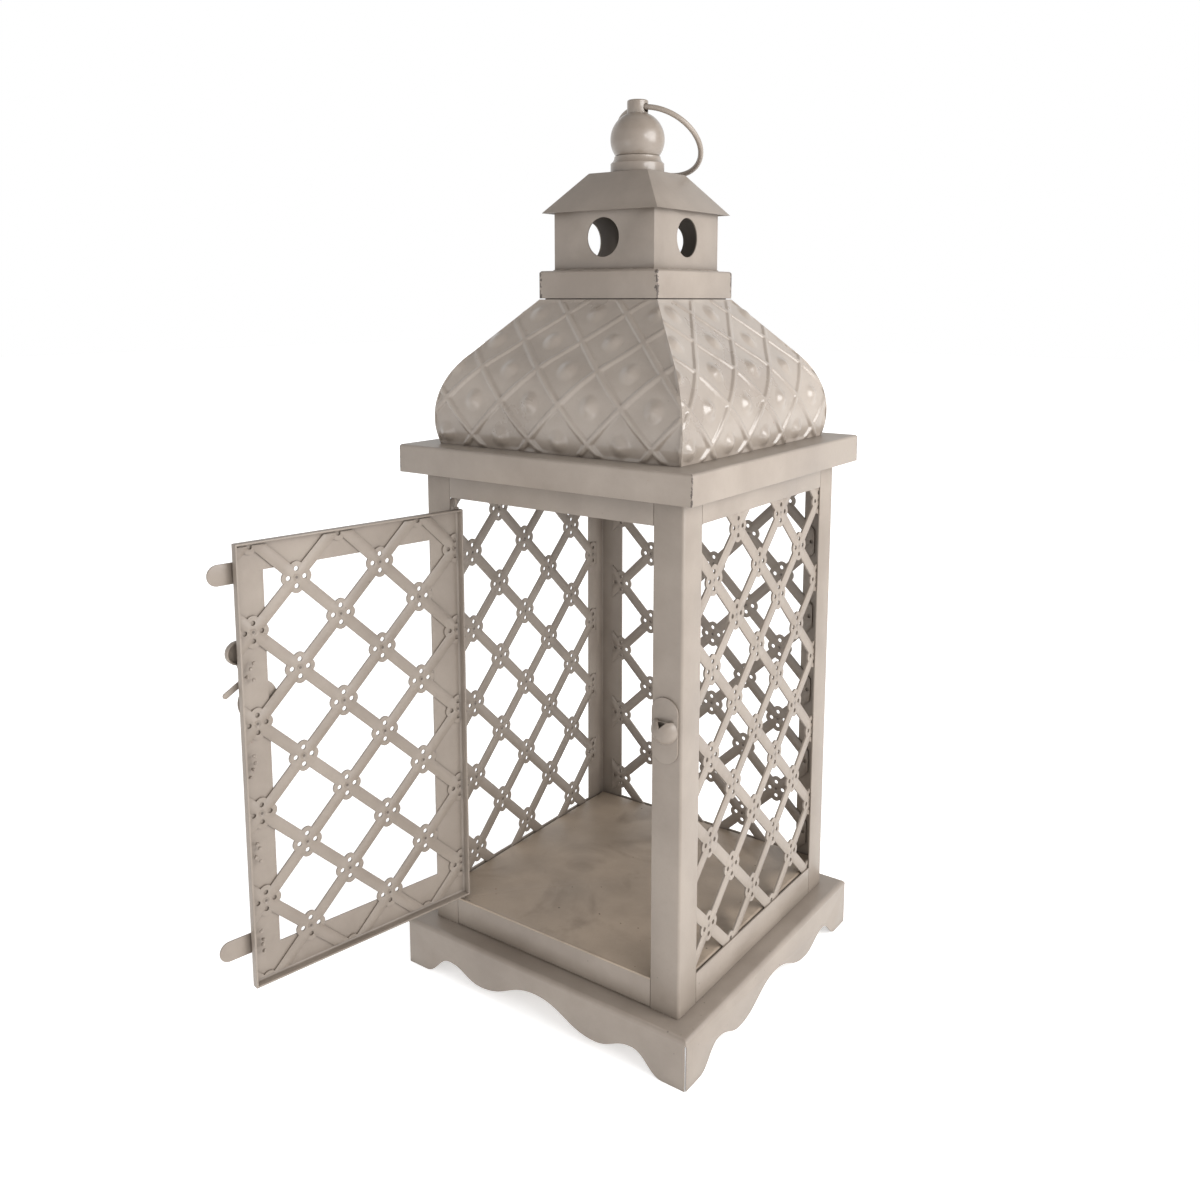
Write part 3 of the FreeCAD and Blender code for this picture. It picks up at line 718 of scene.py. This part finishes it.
@dataclass
class Sheet:
    """One cut and folded sheet: the frame's own node, with its raw edges eased."""

    node: str
    edge: float = 0.22 * MM
    steps: int = 2
    flatten: float = 0.6
    merge: float = 0.004 * MM

    def build(self) -> bpy.types.Object:
        """Copy the node, merge its loose triangles, ease its edges and smooth its bends.

        Returns:
            The finished sheet.
        """
        sheet = bpy.data.objects.new(f"{self.node}_sheet", frame["nodes"][self.node].data.copy())
        bpy.context.scene.collection.objects.link(sheet)
        select_only(sheet)
        if sheet.data.has_custom_normals:
            bpy.ops.mesh.customdata_custom_splitnormals_clear()
        bpy.ops.object.mode_set(mode="EDIT")
        bpy.ops.mesh.select_all(action="SELECT")
        bpy.ops.mesh.remove_doubles(threshold=self.merge)
        bpy.ops.mesh.dissolve_limited(angle_limit=math.radians(self.flatten))
        bpy.ops.object.mode_set(mode="OBJECT")
        modified(sheet, "BEVEL", width=self.edge, segments=self.steps, limit_method="ANGLE",
                 angle_limit=math.radians(CUT_EDGE_ANGLE), use_clamp_overlap=True)
        smooth(sheet)
        return sheet


# ---------------------------------------------------------------------------------------------
# Sub-assemblies
# ---------------------------------------------------------------------------------------------


@dataclass
class Shell:
    """Sheets of the body: plinth, posts, rails, tray, cap, collar, tower, roof and catch."""

    paint: Paint = Paint("body_satin_paint")
    # Painted shade: the tower and its roof take a darker copy of the body paint, so that they read less lit
    # from above.
    tower_paint: Paint = Paint("tower_satin_painted_shade", light=(0.240, 0.202, 0.169), dark=(0.188, 0.156, 0.129))
    tray_paint: Paint = StainedPaint("tray_stained_paint")
    cap_paint: Paint = SeamedPaint("cap_seamed_paint")
    collar_paint: Paint = SeamedPaint("collar_seamed_paint", half=31.4 * MM, crack=0.6 * MM)
    posts: int = 4
    keeper_mouth: tuple[float, float, float] = (60.5 * MM, -72.6 * MM, 149.9 * MM)
    notch: float = 3.4 * MM

    def plain(self) -> list[str]:
        """Name the frame's nodes that get plain paint.

        Returns:
            Their names.
        """
        posts = [f"corner_post_{number}" for number in range(1, self.posts + 1)]
        rails = [f"{level}_rail_{side.word}" for level in ("bottom", "top") for side in Side]
        return ["base_plinth", *posts, *rails]

    def build(self) -> None:
        """Make and dress every sheet."""
        paint = self.paint.material()
        for node in self.plain():
            fitted(Sheet(node).build(), paint, "lantern", node)
        tower_shaded = self.tower_paint.material()
        for node in ("tower_box", "tower_roof"):
            fitted(Sheet(node).build(), tower_shaded, "lantern", node)
        fitted(self.notched_catch(), paint, "lantern", "catch_plate")
        fitted(Sheet("floor_tray").build(), self.tray_paint.material(), "lantern", "floor_tray")
        fitted(Sheet("cap_plate").build(), self.cap_paint.material(), "lantern", "cap_plate")
        fitted(Sheet("collar").build(), self.collar_paint.material(), "lantern", "collar")

    def notched_catch(self) -> bpy.types.Object:
        """Catch plate with a V notch filed in the front rim of its keeper.

        Returns:
            The catch plate.
        """
        catch = Sheet("catch_plate", flatten=ROUND_FLATTEN).build()
        bpy.ops.object.select_all(action="DESELECT")
        bpy.ops.mesh.primitive_cube_add(size=self.notch, location=self.keeper_mouth,
                                        rotation=(0, math.pi / 4, 0))
        file = named("notch_file")
        modified(catch, "BOOLEAN", object=file, operation="DIFFERENCE", solver="EXACT")
        bpy.data.objects.remove(file, do_unlink=True)
        return catch


@dataclass
class EmbossedDome:
    """Four curved panels pressed with raised diamond ribs and a round boss in each diamond."""

    # The dome's painted shade in the corners reaches only 3 mm.
    paint: Paint = Paint("glossy_dome_paint", light=(0.300, 0.255, 0.216), dark=(0.238, 0.199, 0.166),
                         roughness=(0.24, 0.36), coat=0.5, peel=0.06, corner_shade_reach=3.0 * MM)
    thick: float = 0.8 * MM
    belly: float = 1.8 * MM
    belly_rise: float = 11.0 * MM
    base_half: float = 63.4 * MM
    shoulder_half: float = 52.9 * MM
    shoulder_rise: float = 40.7 * MM
    top_half: float = 31.5 * MM
    seam: float = 0.12 * MM
    cell: float = 31.2 * MM
    crossing: tuple[float, float] = (4.1 * MM, 21.2 * MM)
    rib_half: float = 0.75 * MM
    rib_slope: float = 0.85 * MM
    rib_high: float = 1.0 * MM
    boss_radius: float = 5.7 * MM
    boss_high: float = 2.0 * MM
    fade: float = 0.5
    sunk: float = 0.6 * MM
    margin: float = 1.6 * MM
    # Painted shade: a near-black band inside the joint, so that the joint reads dark.
    joint_shade: Colour = (0.045, 0.034, 0.027)
    joint_shade_high: float = 3.0 * MM
    joint_shade_inset: float = 1.2 * MM
    ripple: float = 0.5 * MM
    ripple_grain: float = 38.0
    edge_sunk: float = 0.3
    crease_angle: float = 60.0
    across: int = 230
    up: int = 132
    foot: float = field(init=False)
    rise: float = field(init=False)
    slant: float = field(init=False)

    def __post_init__(self) -> None:
        """Take the foot and the height from the frame, and measure up the slope."""
        low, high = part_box("dome_panel_front")
        self.foot = low.z
        self.rise = high.z - low.z
        rows = self.section()
        self.slant = self.up * (rows[-1][0] - rows[-2][0]).length

    def build(self) -> None:
        """Press the front panel and copy it to the other sides."""
        paint = self.paint.material()
        front = self.pressed()
        for side in (Side.RIGHT, Side.BACK, Side.LEFT):
            twin = copied(front, f"dome_pressing_{side.word}", Matrix.Rotation(side.angle, 4, "Z"))
            fitted(twin, paint, "lantern", f"dome_panel_{side.word}")
        fitted(front, paint, "lantern", "dome_panel_front")
        # Painted shade behind the dome's joint with the collar.
        fitted(self.joint_shade_block(), Paint("joint_shade_paint", light=self.joint_shade, dark=self.joint_shade).material(), "lantern")

    def joint_shade_block(self) -> bpy.types.Object:
        """Dark band behind the joint between the dome and the collar: painted shade seen through the joint.

        Returns:
            The band.
        """
        bpy.ops.object.select_all(action="DESELECT")
        joint = self.foot + self.rise
        bpy.ops.mesh.primitive_cube_add(size=1.0, location=(0, 0, joint))
        band = named("dome_joint_shade_block")
        reach = 2 * (self.top_half - self.thick - self.joint_shade_inset)
        band.scale = (reach, reach, self.joint_shade_high)
        settle(band)
        return band

    def section(self) -> list[tuple[Vector, Vector]]:
        """Points and outward normals up the panel's middle, as (half width, rise), evenly spaced.

        Returns:
            One pair for each row of the grid, from the foot to the top.
        """
        foot = Vector((self.base_half, 0.0))
        middle = Vector((self.base_half + self.belly, self.belly_rise))
        shoulder = Vector((self.shoulder_half, self.shoulder_rise))
        top = Vector((self.top_half, self.rise))
        near, far = middle - foot, shoulder - foot
        twice = 2 * (near.x * far.y - near.y * far.x)
        hub = foot + Vector((far.y * near.length_squared - near.y * far.length_squared,
                             near.x * far.length_squared - far.x * near.length_squared)) / twice
        radius = (foot - hub).length
        start = math.atan2(foot.y - hub.y, foot.x - hub.x)
        bow = radius * (math.atan2(shoulder.y - hub.y, shoulder.x - hub.x) - start)
        slope = (top - shoulder).normalized()
        length = bow + (top - shoulder).length
        rows = []
        for row in range(self.up + 1):
            run = length * row / self.up
            if run < bow:
                out = Vector((math.cos(start + run / radius), math.sin(start + run / radius)))
                rows.append((hub + out * radius, out))
            else:
                rows.append((shoulder + slope * (run - bow), Vector((slope.y, -slope.x))))
        return rows

    def lift(self, x: float, run: float) -> float:
        """Height of the pressing at a place on the panel.

        Args:
            x: Distance from the panel's middle.
            run: Distance up the slope from the foot.

        Returns:
            The height over the sunk field.
        """
        u = (x - self.crossing[0]) / self.cell
        v = (run - self.crossing[1]) / self.cell
        rib = min(abs(u + v - round(u + v)), abs(u - v - round(u - v))) * self.cell / math.sqrt(2)
        ridge = self.rib_high * eased(1 - (rib - self.rib_half) / self.rib_slope)
        boss = min(math.hypot(u - 0.5 - round(u - 0.5), v - round(v)),
                   math.hypot(u - round(u), v - 0.5 - round(v - 0.5))) * self.cell
        share = 1 - self.fade * run / self.slant
        return share * (ridge + self.boss_high * eased(1 - boss / self.boss_radius))

    def pressed(self) -> bpy.types.Object:
        """Press the front panel from a flat grid and give it its wall.

        Returns:
            The panel.
        """
        bpy.ops.object.select_all(action="DESELECT")
        bpy.ops.mesh.primitive_grid_add(x_subdivisions=self.across, y_subdivisions=self.up, size=1.0)
        panel = named("dome_pressing_front")
        rows = self.section()
        step = self.slant / self.up
        for vertex in panel.data.vertices:
            row = round((vertex.co.y + 0.5) * self.up)
            point, out = rows[row]
            x = 2 * vertex.co.x * (point.x - self.seam)
            run = row * step
            inside = eased(min(run, (self.up - row) * step, point.x - abs(x)) / self.margin)
            wander = self.ripple * noise.noise(Vector((x, run, 0.0)) * self.ripple_grain)
            depth = self.sunk * (self.edge_sunk + (1 - self.edge_sunk) * inside)
            spot = point + out * ((self.lift(x, run) + wander) * inside - depth)
            vertex.co = Vector((x, -spot.x, self.foot + spot.y))
        modified(panel, "SOLIDIFY", thickness=self.thick, offset=-1.0)
        smooth(panel, self.crease_angle)
        return panel


def door_line() -> tuple[Vector, Vector]:
    """The open door seen from above.

    Returns:
        Its hinge axis at floor height, and the direction from there to its free edge.
    """
    joint = JOINTS["door_hinge"]
    turn = -math.radians(joint["range_deg"][1])
    x, y, _ = joint["pos_m"]
    return Vector((x, y, 0)), Vector((math.cos(turn), math.sin(turn), 0))


@dataclass
class Door:
    """Door: frame, lattice, stops, pins and latch, as it stands open."""

    paint: Paint = Paint("door_satin_paint")
    crossing_across: float = 39.7 * MM
    crossing_up: float = 166.7 * MM

    def build(self) -> None:
        """Make and dress every piece of the door."""
        paint = self.paint.material()
        for node in ("door_frame", "door_stop_upper", "door_stop_lower", "hinge_pin_upper", "hinge_pin_lower",
                     "latch_escutcheon", "latch_rivet"):
            fitted(Sheet(node).build(), paint, "door", node)
        fitted(Sheet("latch_lever").build(), paint, "latch", "latch_lever")
        hinge, width = door_line()
        start = hinge.dot(width) + self.crossing_across
        lattice = RosettePaint("door_lattice_paint", direction=tuple(width), start=start,
                               height=self.crossing_up)
        sheet = Sheet("door_lattice", flatten=LATTICE_FLATTEN, steps=1).build()
        fitted(sheet, lattice.material(), "door", "door_lattice")


@dataclass
class Windows:
    """Fixed lattice sheets behind the right, back and left windows."""

    crossings: dict[Side, tuple[float, float]] = field(default_factory=lambda: {
        Side.RIGHT: (-4.0 * MM, 202.3 * MM),
        Side.BACK: (-4.0 * MM, 179.0 * MM),
        Side.LEFT: (1.2 * MM, 195.4 * MM),
    })

    def build(self) -> None:
        """Make and dress each sheet."""
        for side, (start, height) in self.crossings.items():
            node = f"lattice_panel_{side.word}"
            paint = RosettePaint(f"{node}_paint", direction=tuple(side.along), start=start, height=height)
            sheet = Sheet(node, flatten=LATTICE_FLATTEN, steps=1).build()
            fitted(sheet, paint.material(), "lantern", node)


@dataclass
class Finial:
    """Finial on the tower and the ring through its neck."""

    # Painted shade: the finial takes a darker copy of the paint, so that it reads less lit from above.
    paint: Paint = Paint("finial_gloss_painted_shade", light=(0.225, 0.187, 0.154), dark=(0.180, 0.147, 0.119),
                         roughness=(0.28, 0.40), coat=0.35, peel=0.06)
    # The wire's painted shade in the corners reaches only 2 mm.
    wire: Paint = Paint("ring_wire_paint", roughness=(0.30, 0.42), corner_shade_reach=2.0 * MM)

    def build(self) -> None:
        """Make and dress each piece."""
        paint = self.paint.material()
        for node in ("finial_collar", "finial_bulb", "finial_neck"):
            fitted(Sheet(node, flatten=ROUND_FLATTEN).build(), paint, "lantern", node)
        ring = Sheet("hanging_ring", flatten=ROUND_FLATTEN).build()
        fitted(ring, self.wire.material(), "ring", "hanging_ring")


@dataclass
class Welds:
    """Lumpy weld beads: round the tower's foot, and dabs where the lattice is held to the door."""

    paint: Paint = Paint("weld_bead_paint", roughness=(0.34, 0.5), peel=0.2, dents=0.5)
    bead: float = 0.55 * MM
    bead_sides: int = 10
    bead_lengths: int = 60
    bead_grain: float = 420.0
    lumps: float = 0.45 * MM
    dab: float = 0.75 * MM
    dab_grain: float = 700.0
    dab_lumps: int = 4
    dab_step: float = 2.6 * MM
    dab_spread: float = 3.5 * MM
    dab_rise_spread: float = 1.5 * MM
    dab_seed: float = 7.3
    dab_proud: float = 1.55 * MM
    dab_along: float = 101.0 * MM
    dab_rises: tuple[float, ...] = (17.0 * MM, 55.0 * MM, 92.0 * MM, 130.0 * MM)

    def build(self) -> None:
        """Seed the noise and make the beads."""
        noise.seed_set(WELD_SEED)
        paint = self.paint.material()
        fitted(self.tower_bead(), paint, "lantern")
        fitted(self.door_dabs(), paint, "door")

    def tower_bead(self) -> bpy.types.Object:
        """Bead round the tower's foot.

        Returns:
            The bead, with its closed ends sunk in each other.
        """
        low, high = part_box("tower_box")
        half = high.x
        runs = []
        for side in Side:
            bpy.ops.object.select_all(action="DESELECT")
            bpy.ops.mesh.primitive_cylinder_add(vertices=self.bead_sides, radius=self.bead,
                                                depth=2 * half + self.bead, location=(0, -half, low.z),
                                                rotation=(0, math.pi / 2, 0))
            run = named(f"tower_bead_{side.word}")
            settle(run)
            self.cut_across(run, half)
            run.data.transform(Matrix.Rotation(side.angle, 4, "Z"))
            runs.append(run)
        bead = joined(runs, "tower_weld_bead")
        roughened(bead, self.bead_grain, self.lumps)
        smooth(bead, BEAD_ANGLE)
        return bead

    def door_dabs(self) -> bpy.types.Object:
        """Dabs along the free stile of the open door, where the lattice strips end.

        Returns:
            The dabs, as one piece.
        """
        low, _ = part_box("door_lattice")
        hinge, along = door_line()
        inwards = UP.cross(along)
        end = hinge + along * self.dab_along
        dabs = []
        for row, rise in enumerate(self.dab_rises):
            for lump in range(self.dab_lumps):
                spread = noise.noise_vector(Vector((row, lump, 0.5)) * self.dab_seed)
                at = end + along * spread.x * self.dab_spread + inwards * self.dab_proud
                middle = (self.dab_lumps - 1) / 2
                at.z = low.z + rise + (lump - middle) * self.dab_step + spread.z * self.dab_rise_spread
                bpy.ops.object.select_all(action="DESELECT")
                bpy.ops.mesh.primitive_ico_sphere_add(subdivisions=3, radius=self.dab, location=at)
                dabs.append(named(f"dab_{row}_{lump}"))
        piece = joined(dabs, "door_weld_dabs")
        settle(piece)
        roughened(piece, self.dab_grain, self.lumps)
        smooth(piece, BEAD_ANGLE)
        return piece

    def cut_across(self, run: bpy.types.Object, half: float) -> None:
        """Divide a run along X into short lengths.

        Args:
            run: The run.
            half: Half of its length.
        """
        select_only(run)
        bpy.ops.object.mode_set(mode="EDIT")
        for cut in range(1, self.bead_lengths):
            bpy.ops.mesh.select_all(action="SELECT")
            place = -half + 2 * half * cut / self.bead_lengths
            bpy.ops.mesh.bisect(plane_co=(place, 0, 0), plane_no=(1, 0, 0))
        bpy.ops.object.mode_set(mode="OBJECT")


# ---------------------------------------------------------------------------------------------
# Studio
# ---------------------------------------------------------------------------------------------


@dataclass(frozen=True)
class Lamp:
    """Square soft light: its place and width in metres, and its power in watts."""

    name: str
    place: tuple[float, float, float]
    width: float
    power: float

    def hang(self, aim: Vector) -> None:
        """Hang the light so that it looks at the lantern.

        Args:
            aim: The place that it looks at.
        """
        bpy.ops.object.light_add(type="AREA", location=self.place)
        light = bpy.context.active_object
        light.name = self.name
        light.data.size = self.width
        light.data.energy = self.power
        light.rotation_euler = (aim - Vector(self.place)).to_track_quat("-Z", "Y").to_euler()


@dataclass
class Studio:
    """Pale floor, soft light and the camera."""

    camera_at: tuple[float, float, float] = (0.2859, -0.4248, 0.3138)
    azimuth: float = 35.81
    pitch: float = 8.644
    lens: float = 33.41
    film_width: float = 36.0
    shift_up: float = -0.1083
    nearest_seen: float = 0.01
    white: Colour = (1.0, 1.0, 1.0)
    matt: float = 0.9
    floor_size: float = 12.0
    floor_tone: Colour = (0.93, 0.93, 0.93)
    floor_gloss: float = 0.1
    floor_glow: float = 0.5
    shade_size: float = 2.2
    shade_high: float = 1.25
    shade_tone: Colour = (0.30, 0.30, 0.30)
    sky: float = 1.0
    lamps: tuple[Lamp, ...] = (
        Lamp("key", (0.85, 0.10, 0.50), 0.55, 7.0),
        Lamp("streak", (0.95, -0.35, 0.55), 0.25, 2.2),
        Lamp("fill", (-0.15, -0.80, 0.06), 0.35, 0.5),
    )
    aim_high: float = 0.2

    def build(self) -> None:
        """Build the floor, the lights and the camera."""
        self.floor()
        self.shade()
        self.daylight()
        for lamp in self.lamps:
            lamp.hang(Vector((0, 0, self.aim_high)))
        self.camera()

    def floor(self) -> None:
        """Plain pale floor under the feet."""
        bpy.ops.object.select_all(action="DESELECT")
        bpy.ops.mesh.primitive_plane_add(size=self.floor_size, location=(0, 0, 0))
        floor = named("studio_floor")
        craft = Craft("studio_floor_pale")
        craft.shader.inputs["Base Color"].default_value = (*self.floor_tone, 1.0)
        craft.shader.inputs["Roughness"].default_value = self.matt
        craft.shader.inputs["Specular IOR Level"].default_value = self.floor_gloss
        craft.shader.inputs["Emission Color"].default_value = (*self.white, 1.0)
        craft.shader.inputs["Emission Strength"].default_value = self.floor_glow
        floor.data.materials.append(craft.material)

    def shade(self) -> None:
        """Grey sheet hung over the lantern, so that less of the light comes from above."""
        bpy.ops.object.select_all(action="DESELECT")
        bpy.ops.mesh.primitive_plane_add(size=self.shade_size, location=(0, 0, self.shade_high))
        shade = named("studio_shade")
        craft = Craft("studio_shade_grey")
        craft.shader.inputs["Base Color"].default_value = (*self.shade_tone, 1.0)
        craft.shader.inputs["Roughness"].default_value = self.matt
        shade.data.materials.append(craft.material)

    def daylight(self) -> None:
        """Even pale light from all round."""
        world = bpy.data.worlds.new("studio_light")
        world.use_nodes = True
        backdrop = world.node_tree.nodes["Background"]
        backdrop.inputs["Color"].default_value = (*self.white, 1.0)
        backdrop.inputs["Strength"].default_value = self.sky
        bpy.context.scene.world = world

    def camera(self) -> None:
        """Camera at eye level, to the right of the doorway."""
        bpy.ops.object.camera_add(location=self.camera_at)
        camera = bpy.context.active_object
        camera.name = "viewpoint"
        camera.rotation_euler = Euler((math.radians(90 - self.pitch), 0.0, math.radians(self.azimuth)))
        camera.data.lens = self.lens
        camera.data.sensor_width = self.film_width
        camera.data.shift_y = self.shift_up
        camera.data.clip_start = self.nearest_seen
        bpy.context.scene.camera = camera
        bpy.context.scene.view_settings.view_transform = "Standard"


def main() -> None:
    """Build the lantern's looks and the studio round it."""
    logging.basicConfig(level=logging.INFO, format="%(relativeCreated)d %(name)s %(message)s")
    Studio().build()
    for part in (Shell(), EmbossedDome(), Windows(), Door(), Finial(), Welds()):
        part.build()
        LOG.info("%s done", type(part).__name__)


if __name__ == "__main__":
    main()
